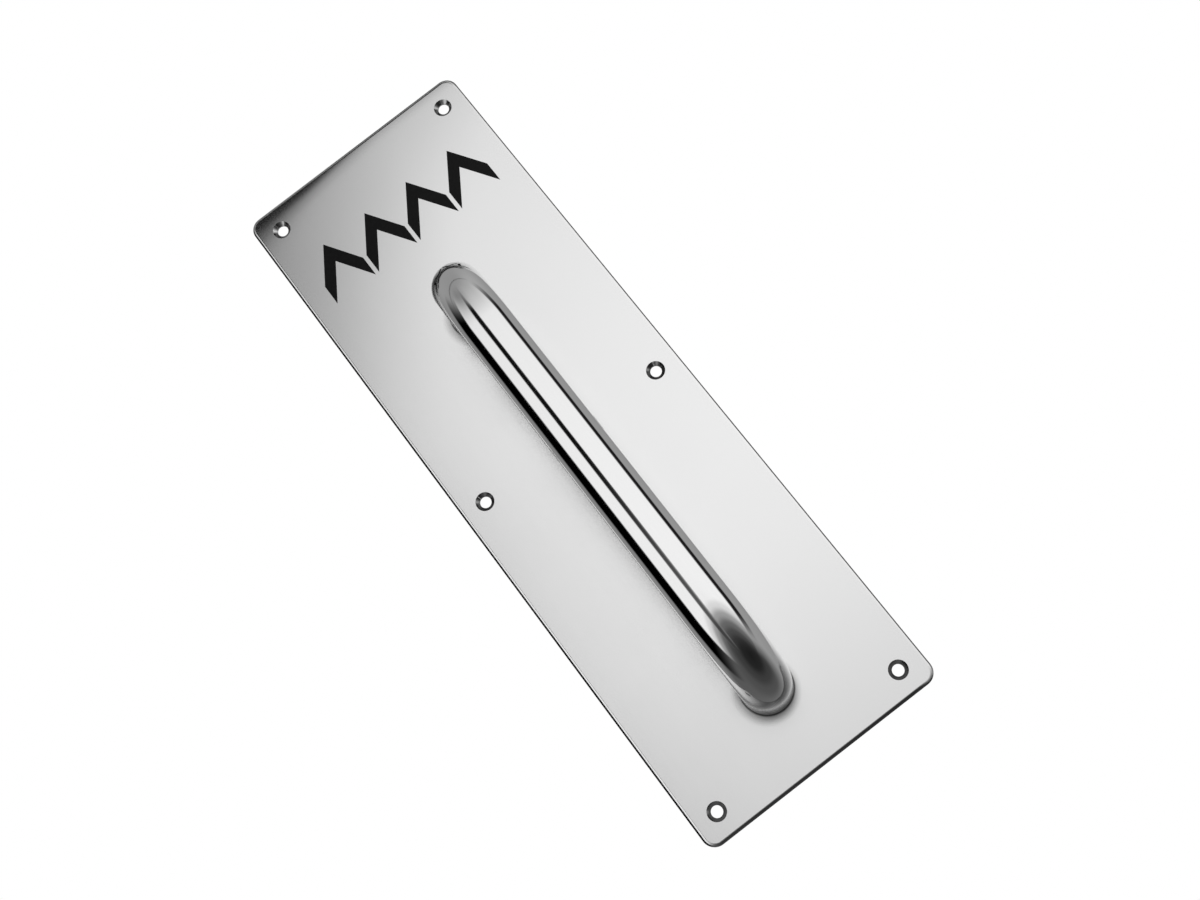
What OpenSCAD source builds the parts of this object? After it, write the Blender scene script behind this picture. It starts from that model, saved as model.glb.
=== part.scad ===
// Door push/pull plate: a sheet plate with a tubular D handle fixed from behind and four filled marks.
//
// Frame, in millimetres: the plate stands upright, as it does on a door. X runs across it and +Z up it.
// The back face lies on the plane Y = 0 with the origin at its centre, and the front faces -Y.
// Modules below draw in a flat panel frame instead: x across, y up, z out of the front face. upright()
// turns that frame into the one above.

/* [Plate] */
// Width of the plate
plate_w = 100; // [92:1:160]
// Height of the plate
plate_h = 300; // [280:1:450]
// Thickness of the sheet
plate_t = 2; // [1.6:0.1:2.4]
// Radius of the four corners, seen from the front
corner_r = 5; // [2:0.5:9]
// Width of the small bevel round the front edge
edge_break = 0.5; // [0.1:0.05:0.6]

/* [Fixing holes] */
// Distance from the side and end edges to the hole centres
hole_inset = 10; // [8:0.5:11]
// Diameter of the fixing holes
hole_d = 4.4; // [3.6:0.1:5]
// Diameter of the countersinks at the front face
countersink_d = 7.2; // [6.4:0.1:7.8]

/* [Handle] */
// Outside diameter of the tube
tube_d = 19; // [15:0.5:22]
// Wall of the tube
tube_wall = 1.2; // [1:0.1:1.6]
// Distance between the centres of the two legs
leg_spacing = 179; // [130:1:184]
// Distance from the plate's front face to the centre of the grip
grip_height = 51; // [46:1:80]
// Centreline radius of the two bends
bend_r = 28; // [22:1:36]
// Distance from the centre of the plate down to the middle of the handle
handle_drop = 27.5; // [4:0.5:30]

/* [Handle fixing] */
// Length of the threaded plug in each leg
plug_l = 16; // [13:0.5:18]
// Gap between a plug and the tube's bore
plug_fit = 0.02; // [0.01:0.01:0.05]
// Thread diameter of the handle screws
screw_d = 5; // [4:0.5:6]
// Length of the handle screws, with the head
screw_l = 12; // [10:0.5:13]
// Diameter of the countersunk heads
screw_head_d = 9.6; // [9:0.1:10.4]
// Pitch of the thread
thread_pitch = 0.8; // [0.7:0.05:1]
// Gap between the screws and what they pass through
screw_gap = 0.06; // [0.03:0.01:0.1]
// Width across the flats of the hexagon socket
socket_af = 3; // [2.5:0.5:3]
// Depth of the hexagon socket
socket_depth = 1.6; // [1.2:0.1:2]

/* [Marks] */
// Height of one mark, an arrowhead that points up
mark_height = 24; // [18:1:28]
// Width of one mark
mark_width = 18.7; // [15:0.1:20]
// Height of a mark's limb at its end
mark_limb = 9; // [6:0.5:12]
// Distance from the plate's top edge down to the marks' points
mark_drop = 26; // [20:1:30]
// Space between two marks
mark_space = 1.6; // [1:0.1:2]
// Depth of the engraved pockets
pocket_depth = 0.35; // [0.2:0.05:0.5]
// How far the filling lies below the plate's front face
fill_sink = 0.05; // [0.02:0.01:0.1]

/* [Hidden] */

$fn = 96;
// How far a cut runs past the face it opens in
eps = 0.01;

hole_x = plate_w / 2 - hole_inset;
hole_y = plate_h / 2 - hole_inset;

bore_r = tube_d / 2 - tube_wall;
leg_l = grip_height - bend_r;
upper_leg = leg_spacing / 2 - handle_drop;
lower_leg = -leg_spacing / 2 - handle_drop;

// The screws' heads lie this far below the back face, which leaves half the gap at their cones
head_sink = screw_gap / 2;
head_cone_l = (screw_head_d - screw_d) / 2;
// Plain neck between a screw's head and its first ring of thread
neck_l = 0.4;
thread_start = head_sink + head_cone_l + neck_l;
// Depth of a metric thread for each millimetre of pitch
thread_depth_ratio = 0.54;
thread_depth = thread_depth_ratio * thread_pitch;
screw_rings = floor((screw_l - thread_start) / thread_pitch);
// Turns that are tapped beyond the screw's tip
spare_rings = 2;
// Point angle of the drill that ends a tapped hole
drill_angle = 118;

mark_count = 4;
mark_pitch = mark_width + mark_space;
mark_foot = plate_h / 2 - mark_drop - mark_height;

satin_steel = [0.78, 0.79, 0.80];
bright_steel = [0.84, 0.85, 0.86];
zinc_steel = [0.62, 0.64, 0.66];
black_enamel = [0.05, 0.05, 0.055];

module upright() {
  rotate([90, 0, 0]) children();
}

// ---------------------------------------------------------------- plate

module rounded_outline(w, h, r) {
  square([w - 2 * r, h], center = true);
  square([w, h - 2 * r], center = true);
  for (sx = [-1, 1]) for (sy = [-1, 1]) translate([sx * (w / 2 - r), sy * (h / 2 - r)]) circle(r);
}

// Section of the metal that the bevel takes off; the sharp edge is at the section's origin.
module bevel_section() {
  reach = edge_break + eps;
  polygon([[-reach, eps], [eps, eps], [eps, -reach]]);
}

// Metal taken off along one straight edge that runs in y, with the outside on +x.
module straight_bevel(length) {
  rotate([90, 0, 0]) linear_extrude(length, center = true) bevel_section();
}

// Metal taken off round one corner, about the corner's own centre, from +x round to +y.
module corner_bevel() {
  rotate_extrude(angle = 90) translate([corner_r, 0]) bevel_section();
}

module front_bevel() {
  for (turn = [0, 180]) rotate([0, 0, turn]) {
    translate([plate_w / 2, 0, 0]) straight_bevel(plate_h - 2 * corner_r);
    translate([0, plate_h / 2, 0]) rotate([0, 0, 90]) straight_bevel(plate_w - 2 * corner_r);
    translate([plate_w / 2 - corner_r, plate_h / 2 - corner_r, 0]) corner_bevel();
    translate([corner_r - plate_w / 2, plate_h / 2 - corner_r, 0]) rotate([0, 0, 90]) corner_bevel();
  }
}

// Round hole from the back face, with a right-angled countersink that opens to the front.
module fixing_hole() {
  cone_l = (countersink_d - hole_d) / 2;
  translate([0, 0, -eps]) cylinder(h = plate_t + eps, d = hole_d);
  translate([0, 0, plate_t - cone_l]) cylinder(h = cone_l + eps, d1 = hole_d, d2 = countersink_d + 2 * eps);
}

module back_plate() {
  color(satin_steel) upright() difference() {
    linear_extrude(plate_t) rounded_outline(plate_w, plate_h, corner_r);
    translate([0, 0, plate_t]) front_bevel();
    for (x = [-hole_x, hole_x]) for (y = [-hole_y, 0, hole_y]) translate([x, y, 0]) fixing_hole();
    for (y = [lower_leg, upper_leg]) translate([0, y, 0]) screw_seat();
    for (i = [0:mark_count - 1])
      translate([0, 0, plate_t - pocket_depth]) linear_extrude(pocket_depth + eps) mark(i);
  }
}

// ---------------------------------------------------------------- handle

// Quarter of a bend with a round section, from +y round to +z.
module bend(r) {
  rotate([90, 0, 90]) rotate_extrude(angle = 90) translate([bend_r, 0]) circle(r);
}

// The whole D as a solid rod of radius r, whose feet run past the plate's face by the given amount.
module d_rod(r, past) {
  bar_l = leg_spacing - 2 * bend_r;
  for (side = [0, 1]) mirror([0, side, 0]) {
    translate([0, leg_spacing / 2, -past]) cylinder(h = leg_l + past, r = r);
    translate([0, bar_l / 2, leg_l]) bend(r);
  }
  translate([0, -bar_l / 2, grip_height]) rotate([-90, 0, 0]) cylinder(h = bar_l, r = r);
}

module grip_tube() {
  color(bright_steel) upright() translate([0, -handle_drop, plate_t]) difference() {
    d_rod(tube_d / 2, 0);
    d_rod(bore_r, eps);
  }
}

// ---------------------------------------------------------------- handle fixing

// A rod cut with rings of thread: its crest radius, its lowest ring's place and the number of rings.
module threaded_rod(crest_r, start, rings) {
  root_r = crest_r - thread_depth;
  top = start + rings * thread_pitch;
  teeth = [for (i = [0:rings - 1]) for (half = [0, 1])
    [half == 0 ? root_r : crest_r, start + (i + half / 2) * thread_pitch]];
  rotate_extrude() polygon(concat([[0, start]], teeth, [[root_r, top], [0, top]]));
}

// Room for a screw's head and neck, from the back face up to where the thread begins.
module screw_seat() {
  neck_d = screw_d + 2 * screw_gap;
  mouth_d = screw_head_d + 2 * screw_gap;
  translate([0, 0, -eps]) cylinder(h = eps, d = mouth_d);
  cylinder(h = head_cone_l, d1 = mouth_d, d2 = neck_d);
  translate([0, 0, head_cone_l - eps]) cylinder(h = thread_start - head_cone_l + 2 * eps, d = neck_d);
}

module tapped_hole() {
  rings = screw_rings + spare_rings;
  drill_r = screw_d / 2 + screw_gap - thread_depth;
  screw_seat();
  threaded_rod(screw_d / 2 + screw_gap, thread_start, rings);
  translate([0, 0, thread_start + rings * thread_pitch - eps])
    cylinder(h = drill_r / tan(drill_angle / 2), r1 = drill_r, r2 = 0);
}

module insert(y) {
  color(zinc_steel) upright() translate([0, y, 0]) difference() {
    translate([0, 0, plate_t]) cylinder(h = plug_l, r = bore_r - plug_fit);
    tapped_hole();
  }
}

module upper_insert() {
  insert(upper_leg);
}

module lower_insert() {
  insert(lower_leg);
}

module handle_screw(y) {
  color(zinc_steel) upright() translate([0, y, 0]) difference() {
    union() {
      translate([0, 0, head_sink]) cylinder(h = head_cone_l, d1 = screw_head_d, d2 = screw_d);
      translate([0, 0, head_sink]) cylinder(h = thread_start - head_sink + eps, r = screw_d / 2 - thread_depth);
      threaded_rod(screw_d / 2, thread_start, screw_rings);
    }
    translate([0, 0, head_sink - eps]) cylinder(h = socket_depth + eps, d = socket_af / cos(30), $fn = 6);
  }
}

module upper_handle_screw() {
  handle_screw(upper_leg);
}

module lower_handle_screw() {
  handle_screw(lower_leg);
}

// ---------------------------------------------------------------- marks

// The outline of one mark in its place on the plate, 0 to 3 from left to right.
module mark(i) {
  middle = (i - (mark_count - 1) / 2) * mark_pitch;
  half_w = mark_width / 2;
  translate([middle, mark_foot]) polygon([
    [-half_w, 0], [0, mark_height - mark_limb], [half_w, 0],
    [half_w, mark_limb], [0, mark_height], [-half_w, mark_limb]
  ]);
}

module mark_filling(i) {
  color(black_enamel) upright() translate([0, 0, plate_t - pocket_depth])
    linear_extrude(pocket_depth - fill_sink) mark(i);
}

module mark_1() {
  mark_filling(0);
}

module mark_2() {
  mark_filling(1);
}

module mark_3() {
  mark_filling(2);
}

module mark_4() {
  mark_filling(3);
}

back_plate();
grip_tube();
upper_insert();
lower_insert();
upper_handle_screw();
lower_handle_screw();
mark_1();
mark_2();
mark_3();
mark_4();
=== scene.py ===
"""Looks for the door push plate: tube mesh, materials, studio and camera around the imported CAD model.

Metres, in the row's frame: the plate stands upright, its front faces -Y and its back face lies on Y = 0.
"""

import math

import bmesh
import bpy
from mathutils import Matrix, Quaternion, Vector


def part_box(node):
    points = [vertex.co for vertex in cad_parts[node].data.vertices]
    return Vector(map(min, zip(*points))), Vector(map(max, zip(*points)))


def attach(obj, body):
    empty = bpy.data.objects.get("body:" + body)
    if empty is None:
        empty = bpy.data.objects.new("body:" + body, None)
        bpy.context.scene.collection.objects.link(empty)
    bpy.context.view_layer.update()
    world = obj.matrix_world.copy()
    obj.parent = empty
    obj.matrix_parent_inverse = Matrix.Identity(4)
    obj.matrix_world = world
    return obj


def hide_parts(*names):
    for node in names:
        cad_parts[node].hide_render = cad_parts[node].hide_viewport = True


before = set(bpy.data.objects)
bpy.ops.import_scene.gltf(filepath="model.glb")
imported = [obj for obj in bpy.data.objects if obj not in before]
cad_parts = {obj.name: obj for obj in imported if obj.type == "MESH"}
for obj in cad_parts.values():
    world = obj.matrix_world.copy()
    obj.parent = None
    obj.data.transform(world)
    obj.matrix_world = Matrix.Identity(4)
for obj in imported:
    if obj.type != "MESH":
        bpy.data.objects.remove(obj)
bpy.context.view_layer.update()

plate_low, plate_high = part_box("back_plate")
tube_low, tube_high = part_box("grip_tube")
FRONT_Y = plate_low.y

# Camera, measured from the centre of the plate's front face
CAMERA_PLACE = Vector((-0.0111, -0.5513, -0.1664))
CAMERA_TARGET = Vector((0.0054, 0.0, -0.0113))
CAMERA_ROLL = math.radians(38.06)
CAMERA_LENS = 46.5
SENSOR_WIDTH = 36.0

# Studio that the metal mirrors. Azimuth is 0 towards the plate's front and grows to the right, elevation is
# 0 at the horizon, both in degrees. Each soft edge runs from one angle to another.

# Brightness of the walls by azimuth
WALLS = ((-180, 0.26), (-110, 0.24), (0, 0.3), (100, 0.34), (180, 0.26))
# How much of it they keep by elevation, at the left and at the right, and the X of a direction
# over which the one turns into the other
LEFT_WALL_DOWN = ((-90, 0.1), (-76, 0.2), (-60, 0.45), (-24, 0.45), (-4, 1.0), (90, 1.0))
RIGHT_WALL_DOWN = ((-90, 0.1), (-76, 0.14), (-60, 0.24), (-43, 0.75), (-28, 1.0), (90, 1.0))
WALL_SIDE_BLEND = (-0.7, 0.7)
# Brightness of the ceiling by azimuth; at the zenith it is the first of these all round
CEILING = (
    (-180, 0.31),
    (-110, 0.33),
    (-75, 0.3),
    (-45, 0.23),
    (-22, 0.24),
    (-5, 0.4),
    (20, 0.47),
    (60, 0.45),
    (180, 0.31),
)
# Elevations over which the walls turn into the ceiling, and over which the ceiling loses its azimuths
CEILING_BLEND = (26.0, 52.0)
ZENITH_BLEND = (55.0, 84.0)
# Soft boxes: azimuths of the left and right edges, and brightness; and the elevations over which they end
SOFT_BOXES = (((-74.0, -67.0), (-27.0, -22.0), 0.97), ((-9.0, -4.5), (72.0, 80.0), 1.0))
BOX_FALL = (12.0, 64.0)
# The boxes darken towards a spot on the ground: its azimuth, the angle down to it, and what they keep of
# their brightness by angle from it
BOX_DARK_SPOT = (12.0, 63.0)
BOX_GROUND = ((0, 0.02), (22, 0.04), (32, 0.075), (42, 0.15), (53, 0.37), (64, 0.78), (74, 1.0), (90, 1.0))
# Curtains: azimuths of the left and right edges, elevations of the lower and upper edges, and strength
CURTAINS = (
    ((-118.0, -108.0), (-74.0, -68.0), (-56.0, -14.0), (28.0, 58.0), 1.0),
    ((74.0, 80.0), (91.0, 96.0), (-34.0, -6.0), (22.0, 58.0), 0.97),
    ((-26.0, -20.0), (-14.0, -8.0), (-75.0, -45.0), (34.0, 76.0), 0.66),
    ((-27.0, -21.0), (-9.0, -4.5), (8.0, 16.0), (34.0, 52.0), 0.96),
)
# The mirrored floor: its darkest spot, its brightness by angle from that, and the elevations over which it
# turns into the walls
FLOOR_DARK_SPOT = (35.0, 62.0)
FLOOR_LEVELS = ((0, 0.014), (16, 0.019), (34, 0.05), (52, 0.085), (75, 0.11), (90, 0.11))
FLOOR_BLEND = (-58.0, -30.0)

# Cards, in metres: how far each stands in front of the plate; its lower edge as (x, height where a thin
# cover starts, height where that begins to turn black) from left to right; and how much light the thin
# cover stops at the left and at the right
VEIL_OUT = 0.060
VEIL_EDGE = (
    (-0.095, 0.040, 0.155),
    (-0.050, 0.050, 0.168),
    (-0.015, 0.075, 0.180),
    (0.018, 0.118, 0.187),
    (0.055, 0.147, 0.192),
    (0.095, 0.150, 0.194),
)
VEIL_COVER = (0.44, 0.18)
CARD_OUT = 0.012
CARD_EDGE = (
    (-0.060, 0.1455, 0.1490),
    (-0.045, 0.1455, 0.1490),
    (-0.025, 0.1472, 0.1507),
    (-0.005, 0.1495, 0.1530),
    (0.012, 0.1515, 0.1550),
    (0.060, 0.1515, 0.1555),
)
CARD_COVER = (0.2, 0.2)
# What both cards share: the height of the black, how far the thin cover takes to turn black (a length, and
# a share of the distance to the plate), and the share of the width over which left turns into right
CARD_HEIGHT = 0.05
CARD_BLUR = 0.0015
CARD_BLUR_SHARE = 0.15
CARD_SIDE_BLEND = (0.2, 0.8)
# Upward coordinate of a card's UV map where the thin cover is complete, and where the black is
THIN_RISE = 0.5
BLACK_RISE = 0.62

# Overhead light for the floor and the paint
LIGHT_PLACE = (0.5, -0.7, 1.5)
LIGHT_AIM = Vector((0, 0, -0.3))
LIGHT_SIZE = 1.6
LIGHT_WATTS = 22.0

# Floor: its distance below the plate's lower edge, its radius and number of sides, the distances from its
# middle over which it fades to white, and its shade
FLOOR_GAP = 0.20
FLOOR_RADIUS = 7.0
FLOOR_SIDES = 128
FLOOR_FADE = (0.25, 0.6)
FLOOR_SHADE = 0.86

# Tube of the handle, drawn finer than the CAD mesh that it stands for: sizes in metres, then the number of
# sides round it, and of steps along each bend and along the bar
TUBE_R = min(tube_high.x, -tube_low.x)
TUBE_WALL = 0.0012
BEND_R = 0.028
FOOT_BREAK = 0.00025
TUBE_SIDES = 160
BEND_STEPS = 72
BAR_STEPS = 24

# Plate: corner radius, and the width and depth of the band that its rolled edge turns over. Near the upper
# right corner, by X and Z, the roll is flatter by a share of its depth.
CORNER_R = 0.005
ROLL_WIDTH = 0.0014
ROLL_DEPTH = 0.0010
FLATTER_FROM_X = (0.040, 0.046)
FLATTER_UP_TO_Z = (0.140, 0.147)
FLATTER_SHARE = 0.65

# Plate, noise in features per metre along X, Y and Z, and how deep the grain looks
FINE_GRAIN = (9000.0, 9000.0, 260.0)
COARSE_GRAIN = (1100.0, 1100.0, 30.0)
TURNED_GRAIN = (3000.0, 9000.0, 3000.0)
BACK_MARKS = (160.0, 160.0, 18.0)
PLATE_CLOUDS = 14.0
GRAIN_DEPTH = 0.000006

# Plate, painted shadow round each foot of the handle: distances from the tube over which a dark line and a
# soft ring turn into unshaded plate, the brightness of both at the tube against unshaded plate, and the
# ring's shift in X and Z
PAINTED_SHADOW_LINE = (0.0002, 0.0009)
PAINTED_SHADOW_LEVEL = 0.2
PAINTED_SHADOW_RING = (-0.0005, 0.0035)
PAINTED_SHADOW_RING_LEVEL = 0.55
PAINTED_SHADOW_RING_SHIFT = (-0.0009, -0.0008)

# Tube: how far up the legs the rough part with painted shade at the feet reaches, and its brightness (painted
# shade where the tube meets the plate) and added roughness right at the plate
TUBE_FOOT_SHADE_AND_ROUGH_LENGTH = 0.034
TUBE_FOOT_PAINTED_SHADE = 0.50
FOOT_ROUGH = 0.45

# Tube, noise in features per metre round and along it, and how deep the polishing lines look
POLISH_LINES = (5000.0, 60.0, 1.0)
POLISH_SMEARS = (90.0, 25.0, 1.0)
POLISH_DEPTH = 0.000001

# Zinc and enamel, noise in features per metre, and how deep the pits and the orange peel look
ZINC_CLOUDS = 350.0
ZINC_PITS = 4200.0
PIT_DEPTH = 0.00002
ENAMEL_PEEL = 900.0
PEEL_DEPTH = 0.0001


# ---------------------------------------------------------------- node helpers


class Tree:
    """A short way to write shader nodes: add returns the new node, the other methods its output socket."""

    def __init__(self, owner):
        owner.use_nodes = True
        self.nodes = owner.node_tree.nodes
        self.links = owner.node_tree.links
        self.nodes.clear()

    def add(self, kind, inputs=(), **settings):
        node = self.nodes.new(kind)
        for name, value in settings.items():
            setattr(node, name, value)
        for key, value in dict(inputs).items():
            if isinstance(value, bpy.types.NodeSocket):
                self.links.new(value, node.inputs[key])
            else:
                node.inputs[key].default_value = value
        return node

    def math(self, operation, a, b=0.0):
        return self.add("ShaderNodeMath", {0: a, 1: b}, operation=operation).outputs[0]

    def smooth(self, value, low, high, to_low=0.0, to_high=1.0):
        node = self.add(
            "ShaderNodeMapRange",
            {"Value": value, "From Min": low, "From Max": high, "To Min": to_low, "To Max": to_high},
            interpolation_type="SMOOTHSTEP",
        )
        return node.outputs["Result"]

    def share_of(self, value, low, high):
        """How far value is from low to high, as a share from 0 to 1."""
        node = self.add("ShaderNodeMapRange", {"Value": value, "From Min": low, "From Max": high})
        return node.outputs["Result"]

    def mix(self, factor, a, b):
        node = self.add("ShaderNodeMix", {"Factor": factor, 2: a, 3: b}, data_type="FLOAT")
        return node.outputs[0]

    def ramp(self, value, stops):
        """A soft curve through (position, brightness) stops, with positions rising from 0 to 1."""
        node = self.add("ShaderNodeValToRGB", {"Fac": value})
        ramp = node.color_ramp
        ramp.interpolation = "EASE"
        while len(ramp.elements) < len(stops):
            ramp.elements.new(0.5)
        for element, (position, level) in zip(ramp.elements, stops):
            element.position = position
            element.color = (level, level, level, 1.0)
        return node.outputs["Color"]

    def grey(self, value):
        return self.add("ShaderNodeCombineColor", {0: value, 1: value, 2: value}).outputs[0]

    def noise(self, vector, scale, detail=4.0, roughness=0.6):
        inputs = {"Vector": vector, "Scale": scale, "Detail": detail, "Roughness": roughness}
        return self.add("ShaderNodeTexNoise", inputs).outputs[0]

    def stretch(self, vector, scale):
        return self.add("ShaderNodeMapping", {"Vector": vector, "Scale": scale}).outputs[0]


# ---------------------------------------------------------------- studio


def make_world():
    """What the metal sees: two broad soft boxes with a gap between them, dark curtains at the sides,
    grey walls, a dim ceiling and a dark ground in front of the plate.
    """
    world = bpy.data.worlds.new("studio")
    bpy.context.scene.world = world
    t = Tree(world)
    direction = t.add("ShaderNodeTexCoord").outputs["Generated"]
    axes = t.add("ShaderNodeSeparateXYZ", {0: direction}).outputs
    toward = t.math("MULTIPLY", axes["Y"], -1.0)
    degrees = 180.0 / math.pi
    azimuth = t.math("MULTIPLY", t.math("ARCTAN2", axes["X"], toward), degrees)
    elevation = t.math("MULTIPLY", t.math("ARCSINE", axes["Z"]), degrees)

    def between(value, rise, fall):
        """1 inside and 0 outside, with soft edges: rise and fall each run from one angle to another."""
        return t.math("MULTIPLY", t.smooth(value, *rise), t.smooth(value, *fall, 1.0, 0.0))

    def by_angle(value, stops):
        """A soft curve through (degrees, level) stops, flat beyond the first and the last."""
        low, high = stops[0][0], stops[-1][0]
        return t.ramp(t.share_of(value, low, high), [((x - low) / (high - low), y) for x, y in stops])

    walls = by_angle(azimuth, WALLS)
    left_down = by_angle(elevation, LEFT_WALL_DOWN)
    right_down = by_angle(elevation, RIGHT_WALL_DOWN)
    walls = t.math("MULTIPLY", walls, t.mix(t.smooth(axes["X"], *WALL_SIDE_BLEND), left_down, right_down))
    ceiling = t.mix(t.smooth(elevation, *ZENITH_BLEND), by_angle(azimuth, CEILING), CEILING[0][1])
    level = t.mix(t.smooth(elevation, *CEILING_BLEND), walls, ceiling)

    def apart_from(turn, down):
        """Angle in degrees between the direction and a point on the ground."""
        turn, down = math.radians(turn), math.radians(down)
        point = (math.sin(turn) * math.cos(down), -math.cos(turn) * math.cos(down), -math.sin(down))
        facing = t.add("ShaderNodeVectorMath", {0: direction, 1: point}, operation="DOT_PRODUCT")
        return t.math("MULTIPLY", t.math("ARCCOSINE", facing.outputs["Value"]), degrees)

    ground = by_angle(apart_from(*BOX_DARK_SPOT), BOX_GROUND)
    box_fall = t.smooth(elevation, *BOX_FALL, 1.0, 0.0)
    for left, right, brightness in SOFT_BOXES:
        share = t.math("MULTIPLY", between(azimuth, left, right), box_fall)
        level = t.mix(share, level, t.math("MULTIPLY", ground, brightness))

    for left, right, low, high, strength in CURTAINS:
        share = t.math("MULTIPLY", between(azimuth, left, right), between(elevation, low, high))
        level = t.math("MULTIPLY", level, t.math("SUBTRACT", 1.0, t.math("MULTIPLY", share, strength)))
    below = by_angle(apart_from(*FLOOR_DARK_SPOT), FLOOR_LEVELS)
    level = t.mix(t.smooth(elevation, *FLOOR_BLEND), below, level)

    seen = t.add("ShaderNodeBackground", {"Color": (1.0, 1.0, 1.0, 1.0), "Strength": 1.0}).outputs[0]
    lit = t.add("ShaderNodeBackground", {"Color": t.grey(level), "Strength": 1.0}).outputs[0]
    camera_ray = t.add("ShaderNodeLightPath").outputs["Is Camera Ray"]
    both = t.add("ShaderNodeMixShader", {0: camera_ray, 1: lit, 2: seen}).outputs[0]
    t.add("ShaderNodeOutputWorld", {"Surface": both})


def card_mesh(name, out, edge):
    """A sheet out in front of the plate. Its UV map says how far across it and how far up it a place is."""
    mesh = bpy.data.meshes.new(name)
    shape = bmesh.new()
    rise = shape.loops.layers.uv.new("rise")
    blur = CARD_BLUR + out * CARD_BLUR_SHARE
    width = edge[-1][0] - edge[0][0]
    columns = []
    for x, low, high in edge:
        steps = (
            (low, 0.0),
            ((low + high) / 2, THIN_RISE / 2),
            (high, THIN_RISE),
            (high + blur, BLACK_RISE),
            (high + CARD_HEIGHT, 1.0),
        )
        across = (x - edge[0][0]) / width
        columns.append([(shape.verts.new((x, FRONT_Y - out, z)), (across, up)) for z, up in steps])
    for left, right in zip(columns, columns[1:]):
        for i in range(len(left) - 1):
            corners = [left[i], right[i], right[i + 1], left[i + 1]]
            face = shape.faces.new([vert for vert, _ in corners])
            for loop, (_, uv) in zip(face.loops, corners):
                loop[rise].uv = uv
    shape.to_mesh(mesh)
    shape.free()
    return mesh


def card_material(name, thin_cover):
    """Black as seen from the plate's side of the card, and clear from the other side."""
    material = bpy.data.materials.new(name)
    t = Tree(material)
    place = t.add("ShaderNodeSeparateXYZ", {0: t.add("ShaderNodeUVMap", uv_map="rise").outputs[0]}).outputs
    rise = t.smooth(place["Y"], 0.0, THIN_RISE)
    thin = t.math("MULTIPLY", rise, t.smooth(place["X"], *CARD_SIDE_BLEND, *thin_cover))
    cover = t.mix(t.smooth(place["Y"], THIN_RISE, BLACK_RISE), thin, 1.0)
    cover = t.math("MULTIPLY", cover, t.add("ShaderNodeNewGeometry").outputs["Backfacing"])
    black = t.add("ShaderNodeBsdfDiffuse", {"Color": (0.0, 0.0, 0.0, 1.0)}).outputs[0]
    clear = t.add("ShaderNodeBsdfTransparent").outputs[0]
    both = t.add("ShaderNodeMixShader", {0: cover, 1: clear, 2: black}).outputs[0]
    t.add("ShaderNodeOutputMaterial", {"Surface": both})
    return material


def make_cards():
    """Two softly edged black cards in front of the plate's upper end. Only reflections show them, and only
    from behind: the veil, far out, greys the upper left corner of the plate, and the card, close to the
    plate, draws the dark line along its upper edge.
    """
    cards = (("veil", VEIL_OUT, VEIL_EDGE, VEIL_COVER), ("card", CARD_OUT, CARD_EDGE, CARD_COVER))
    for name, out, edge, thin_cover in cards:
        mesh = card_mesh(name, out, edge)
        piece = bpy.data.objects.new(name, mesh)
        bpy.context.scene.collection.objects.link(piece)
        mesh.materials.append(card_material(name, thin_cover))
        piece.visible_camera = False
        piece.visible_diffuse = False
        piece.visible_shadow = False


def make_floor():
    """A plain pale floor that brightens into the white backdrop away from the object."""
    height = plate_low.z - FLOOR_GAP
    bpy.ops.mesh.primitive_circle_add(
        vertices=FLOOR_SIDES, radius=FLOOR_RADIUS, fill_type="NGON", location=(0.0, 0.0, height)
    )
    floor = bpy.context.active_object
    floor.name = "floor"
    material = bpy.data.materials.new("pale_floor")
    t = Tree(material)
    place = t.add("ShaderNodeTexCoord").outputs["Object"]
    distance = t.add("ShaderNodeVectorMath", {0: place}, operation="LENGTH").outputs["Value"]
    fade = t.smooth(distance, *FLOOR_FADE)
    pale = t.add("ShaderNodeBsdfDiffuse", {"Color": (FLOOR_SHADE, FLOOR_SHADE, FLOOR_SHADE, 1.0)}).outputs[0]
    white = t.add("ShaderNodeEmission", {"Color": (1.0, 1.0, 1.0, 1.0), "Strength": 1.0}).outputs[0]
    both = t.add("ShaderNodeMixShader", {0: fade, 1: pale, 2: white}).outputs[0]
    t.add("ShaderNodeOutputMaterial", {"Surface": both})
    floor.data.materials.append(material)
    floor.visible_glossy = False


def make_lights():
    """A large soft light overhead for the floor and the paint."""
    data = bpy.data.lights.new("soft_overhead", "AREA")
    data.shape = "DISK"
    data.size = LIGHT_SIZE
    data.energy = LIGHT_WATTS
    light = bpy.data.objects.new("soft_overhead", data)
    light.location = LIGHT_PLACE
    light.rotation_euler = (LIGHT_AIM - light.location).to_track_quat("-Z", "Y").to_euler()
    light.visible_glossy = False
    light.visible_camera = False
    bpy.context.scene.collection.objects.link(light)


def make_camera():
    """The camera in front of the plate and a little below its middle, turned about its own line of sight."""
    front = Vector(((plate_low.x + plate_high.x) / 2, FRONT_Y, (plate_low.z + plate_high.z) / 2))
    data = bpy.data.cameras.new("camera")
    data.lens = CAMERA_LENS
    data.sensor_width = SENSOR_WIDTH
    data.clip_start = 0.01
    data.clip_end = 50.0
    camera = bpy.data.objects.new("camera", data)
    bpy.context.scene.collection.objects.link(camera)
    camera.location = front + CAMERA_PLACE
    sight = front + CAMERA_TARGET - camera.location
    camera.rotation_mode = "QUATERNION"
    camera.rotation_quaternion = Quaternion(sight, CAMERA_ROLL) @ sight.to_track_quat("-Z", "Y")
    bpy.context.scene.camera = camera


# ---------------------------------------------------------------- tube


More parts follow.
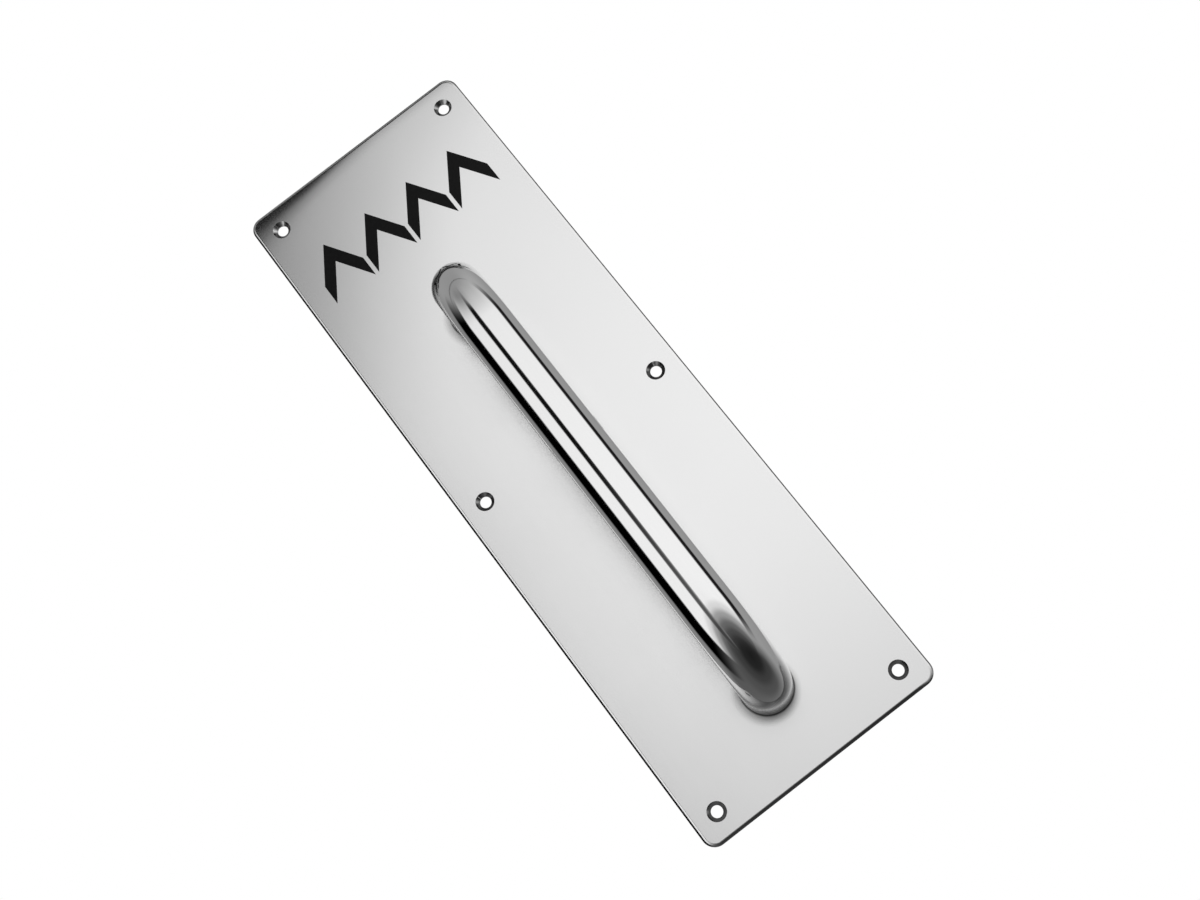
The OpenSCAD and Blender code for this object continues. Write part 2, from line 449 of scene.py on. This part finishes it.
def centreline():
    """The handle's centreline from the upper foot to the lower: (place, way out of the D, length so far)."""
    upper, lower = tube_high.z - TUBE_R, tube_low.z + TUBE_R
    grip_y = tube_low.y + TUBE_R
    bend_y = grip_y + BEND_R
    up, front = Vector((0, 0, 1)), Vector((0, -1, 0))
    points = [(Vector((0, FRONT_Y, upper)), up), (Vector((0, FRONT_Y - FOOT_BREAK, upper)), up)]
    for centre_z, start, end in ((upper - BEND_R, up, front), (lower + BEND_R, front, -up)):
        for i in range(BEND_STEPS + 1):
            turned = math.radians(90.0 * i / BEND_STEPS)
            out = math.cos(turned) * start + math.sin(turned) * end
            points.append((Vector((0, bend_y, centre_z)) + BEND_R * out, out))
        if end == front:
            bar = upper - lower - 2 * BEND_R
            for i in range(1, BAR_STEPS):
                points.append((Vector((0, grip_y, upper - BEND_R - bar * i / BAR_STEPS)), front))
    points += [(Vector((0, FRONT_Y - FOOT_BREAK, lower)), -up), (Vector((0, FRONT_Y, lower)), -up)]
    line, length = [], 0.0
    for i, (place, out) in enumerate(points):
        if i:
            length += (place - points[i - 1][0]).length
        line.append((place, out, length))
    return line


def make_tube():
    """The D handle as one closed hollow tube, with a small bevel round each foot and a UV map in metres."""
    mesh = bpy.data.meshes.new("handle_tube")
    shape = bmesh.new()
    sweep = shape.loops.layers.uv.new("sweep")
    line = centreline()
    across = Vector((1, 0, 0))

    def ring(place, out, radius):
        angles = [2.0 * math.pi * i / TUBE_SIDES for i in range(TUBE_SIDES)]
        return [shape.verts.new(place + radius * (math.cos(a) * out + math.sin(a) * across)) for a in angles]

    def skin(first, second, start, end, flip):
        for i in range(TUBE_SIDES):
            j = (i + 1) % TUBE_SIDES
            corners = [(first[i], i, start), (first[j], i + 1, start)]
            corners += [(second[j], i + 1, end), (second[i], i, end)]
            if flip:
                corners.reverse()
            face = shape.faces.new([corner[0] for corner in corners])
            face.smooth = True
            for loop, (_, step, along) in zip(face.loops, corners):
                loop[sweep].uv = (2.0 * math.pi * TUBE_R * step / TUBE_SIDES, along)

    last = len(line) - 1
    foot_r = TUBE_R - FOOT_BREAK
    radii = [foot_r] + [TUBE_R] * (last - 1) + [foot_r]
    outer = [ring(place, out, radius) for (place, out, _), radius in zip(line, radii)]
    inner = [ring(place, out, TUBE_R - TUBE_WALL) for place, out, _ in line]
    for i in range(last):
        skin(outer[i], outer[i + 1], line[i][2], line[i + 1][2], False)
        skin(inner[i], inner[i + 1], line[i][2], line[i + 1][2], True)
    skin(outer[0], inner[0], line[0][2], line[0][2], True)
    skin(outer[last], inner[last], line[last][2], line[last][2], False)
    bmesh.ops.recalc_face_normals(shape, faces=shape.faces)
    shape.to_mesh(mesh)
    shape.free()
    mesh.set_sharp_from_angle(angle=math.radians(30.0))
    tube = bpy.data.objects.new("handle_tube", mesh)
    bpy.context.scene.collection.objects.link(tube)
    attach(tube, "root")
    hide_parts("grip_tube")
    return tube


# ---------------------------------------------------------------- materials


def finish_metal(t, shade, rough, height, depth, form=None):
    """The metal shader that all the steels share: depth is how deep the height's marks are, in metres,
    and form is a larger relief under them, also in metres.
    """
    inputs = {"Height": height, "Strength": 0.3, "Distance": depth}
    if form is not None:
        relief = t.add("ShaderNodeBump", {"Height": form, "Strength": 1.0, "Distance": 1.0})
        inputs["Normal"] = relief.outputs[0]
    bump = t.add("ShaderNodeBump", inputs).outputs[0]
    shader = t.add(
        "ShaderNodeBsdfPrincipled",
        {"Base Color": t.grey(shade), "Metallic": 1.0, "Roughness": rough, "Normal": bump},
    ).outputs[0]
    t.add("ShaderNodeOutputMaterial", {"Surface": shader})


def painted_foot_shadow(t, place):
    """Painted contact shadow: 1 on the open plate, less in the dark line and soft ring close round each foot
    of the handle.
    """
    unshaded = 1.0
    for height in (tube_high.z - TUBE_R, tube_low.z + TUBE_R):
        foot = (0.0, FRONT_Y, height)
        away = t.add("ShaderNodeVectorMath", {0: place, 1: foot}, operation="DISTANCE").outputs["Value"]
        line = t.smooth(away, TUBE_R + PAINTED_SHADOW_LINE[0], TUBE_R + PAINTED_SHADOW_LINE[1], PAINTED_SHADOW_LEVEL, 1.0)
        aside = (PAINTED_SHADOW_RING_SHIFT[0], FRONT_Y, height + PAINTED_SHADOW_RING_SHIFT[1])
        away = t.add("ShaderNodeVectorMath", {0: place, 1: aside}, operation="DISTANCE").outputs["Value"]
        ring = t.smooth(away, TUBE_R + PAINTED_SHADOW_RING[0], TUBE_R + PAINTED_SHADOW_RING[1], PAINTED_SHADOW_RING_LEVEL, 1.0)
        unshaded = t.math("MULTIPLY", unshaded, t.math("MULTIPLY", line, ring))
    return unshaded


def from_outline(t, place):
    """Distance in metres from a place on the plate to the nearest point of its outline."""
    axes = t.add("ShaderNodeSeparateXYZ", {0: place}).outputs
    past_x = t.math("SUBTRACT", t.math("ABSOLUTE", axes["X"]), plate_high.x - CORNER_R)
    past_z = t.math("SUBTRACT", t.math("ABSOLUTE", axes["Z"]), plate_high.z - CORNER_R)
    corner_x = t.math("MAXIMUM", past_x, 0.0)
    corner_z = t.math("MAXIMUM", past_z, 0.0)
    corner = t.add("ShaderNodeCombineXYZ", {0: corner_x, 1: corner_z}).outputs[0]
    outside = t.add("ShaderNodeVectorMath", {0: corner}, operation="LENGTH").outputs["Value"]
    inside = t.math("MINIMUM", t.math("MAXIMUM", past_x, past_z), 0.0)
    return t.math("SUBTRACT", CORNER_R, t.math("ADD", outside, inside))


def edge_roll(t, place):
    """Height in metres of the rolled edge against the flat of the plate, 0 or less."""
    across = t.share_of(from_outline(t, place), 0.0, ROLL_WIDTH)
    roll = t.math("MULTIPLY", t.math("POWER", t.math("SUBTRACT", 1.0, across), 2.0), -ROLL_DEPTH)
    axes = t.add("ShaderNodeSeparateXYZ", {0: place}).outputs
    low_enough = t.smooth(axes["Z"], *FLATTER_UP_TO_Z, 1.0, 0.0)
    flatter = t.math("MULTIPLY", t.smooth(axes["X"], *FLATTER_FROM_X), low_enough)
    return t.math("MULTIPLY", roll, t.math("SUBTRACT", 1.0, t.math("MULTIPLY", flatter, FLATTER_SHARE)))


def satin_plate():
    """Satin sheet with a fine grain down its length. The bevels and countersinks are smoother and carry
    painted shade, pale where they face down and dark where they face up, and the back carries uneven
    lengthwise marks.
    """
    material = bpy.data.materials.new("satin_plate")
    t = Tree(material)
    coordinates = t.add("ShaderNodeTexCoord").outputs
    place = coordinates["Object"]
    facing = t.add("ShaderNodeSeparateXYZ", {0: coordinates["Normal"]}).outputs
    flat = t.smooth(t.math("ABSOLUTE", facing["Y"]), 0.8, 0.95)
    front = t.smooth(facing["Y"], -0.5, -0.3, 1.0, 0.0)
    fine = t.noise(t.stretch(place, FINE_GRAIN), 1.0, 3.0)
    coarse = t.noise(t.stretch(place, COARSE_GRAIN), 1.0, 5.0, 0.7)
    grain = t.mix(0.35, fine, coarse)
    cloud = t.noise(place, PLATE_CLOUDS, 3.0)

    satin = t.math("ADD", t.smooth(grain, 0.3, 0.7, 0.195, 0.235), t.smooth(cloud, 0.3, 0.7, -0.012, 0.012))
    turned = t.noise(t.stretch(place, TURNED_GRAIN), 1.0, 3.0)
    rough = t.mix(flat, t.smooth(turned, 0.3, 0.7, 0.12, 0.2), satin)

    shade = t.math("ADD", t.smooth(grain, 0.25, 0.75, 0.885, 0.925), t.smooth(cloud, 0.3, 0.7, -0.008, 0.008))
    marks = t.noise(t.stretch(place, BACK_MARKS), 1.0, 6.0, 0.65)
    # On the front, painted shadow round the handle's feet; on the back, uneven lengthwise marks
    marks_and_painted_shadow = t.mix(front, t.smooth(marks, 0.3, 0.7, 0.86, 1.04), painted_foot_shadow(t, place))
    shade = t.math("MULTIPLY", shade, marks_and_painted_shadow)
    # Painted shade on the bevels and countersinks: pale where they face down, dark where they face up or
    # sideways
    shade = t.mix(flat, t.smooth(facing["Z"], -0.6, 0.3, 0.8, 0.12), shade)

    scratches = t.math("MULTIPLY", grain, flat)
    form = t.math("MULTIPLY", edge_roll(t, place), flat)
    finish_metal(t, shade, rough, scratches, GRAIN_DEPTH, form)
    return material


def polished_tube(length):
    """Bright tube with the faint lengthwise lines that polishing leaves and a few soft smears; the legs grow
    rougher towards their feet and darker with painted shade where they meet the plate.
    """
    material = bpy.data.materials.new("polished_tube")
    t = Tree(material)
    place = t.add("ShaderNodeUVMap", uv_map="sweep").outputs[0]
    lines = t.noise(t.stretch(place, POLISH_LINES), 1.0, 4.0)
    smear = t.noise(t.stretch(place, POLISH_SMEARS), 1.0, 3.0)
    rough = t.math("ADD", t.smooth(lines, 0.3, 0.7, 0.05, 0.08), t.smooth(smear, 0.45, 0.75, 0.0, 0.03))
    shade = t.smooth(lines, 0.25, 0.75, 0.85, 0.88)
    along = t.add("ShaderNodeSeparateXYZ", {0: place}).outputs["Y"]
    to_foot = t.math("MINIMUM", along, t.math("SUBTRACT", length, along))
    # Painted shade: the tube darkens towards each foot, where it meets the plate
    shade = t.math("MULTIPLY", shade, t.smooth(to_foot, 0.0, TUBE_FOOT_SHADE_AND_ROUGH_LENGTH, TUBE_FOOT_PAINTED_SHADE, 1.0))
    rough = t.math("ADD", rough, t.smooth(to_foot, 0.0, TUBE_FOOT_SHADE_AND_ROUGH_LENGTH, FOOT_ROUGH, 0.0))
    finish_metal(t, shade, rough, lines, POLISH_DEPTH)
    return material


def zinc_fixings():
    """Bright zinc plating: cloudy, slightly pitted and a little uneven in gloss."""
    material = bpy.data.materials.new("zinc_fixings")
    t = Tree(material)
    place = t.add("ShaderNodeTexCoord").outputs["Object"]
    cloud = t.noise(place, ZINC_CLOUDS, 4.0)
    pits = t.noise(place, ZINC_PITS, 3.0)
    rough = t.smooth(cloud, 0.3, 0.7, 0.22, 0.38)
    shade = t.math("ADD", t.smooth(cloud, 0.3, 0.7, 0.6, 0.7), t.smooth(pits, 0.55, 0.75, 0.0, -0.08))
    finish_metal(t, shade, rough, pits, PIT_DEPTH)
    return material


def black_enamel():
    """Black filling paint with a faint orange-peel surface."""
    material = bpy.data.materials.new("black_enamel")
    t = Tree(material)
    place = t.add("ShaderNodeTexCoord").outputs["Object"]
    peel = t.noise(place, ENAMEL_PEEL, 4.0)
    level = t.smooth(peel, 0.3, 0.7, 0.003, 0.005)
    rough = t.smooth(peel, 0.3, 0.7, 0.4, 0.5)
    bump = t.add("ShaderNodeBump", {"Height": peel, "Strength": 0.15, "Distance": PEEL_DEPTH}).outputs[0]
    shader = t.add(
        "ShaderNodeBsdfPrincipled",
        {"Base Color": t.grey(level), "Roughness": rough, "Specular IOR Level": 0.12, "Normal": bump},
    ).outputs[0]
    t.add("ShaderNodeOutputMaterial", {"Surface": shader})
    return material


def dress(material, *names):
    """Give the named pieces of the CAD model this material alone."""
    for name in names:
        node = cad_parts[name]
        node.data.materials.clear()
        node.data.materials.append(material)


tube = make_tube()
tube.data.materials.append(polished_tube(centreline()[-1][2]))
dress(satin_plate(), "back_plate")
dress(zinc_fixings(), "upper_insert", "lower_insert", "upper_handle_screw", "lower_handle_screw")
dress(black_enamel(), "mark_1", "mark_2", "mark_3", "mark_4")

make_world()
make_cards()
make_floor()
make_lights()
make_camera()
bpy.context.scene.view_settings.view_transform = "Standard"
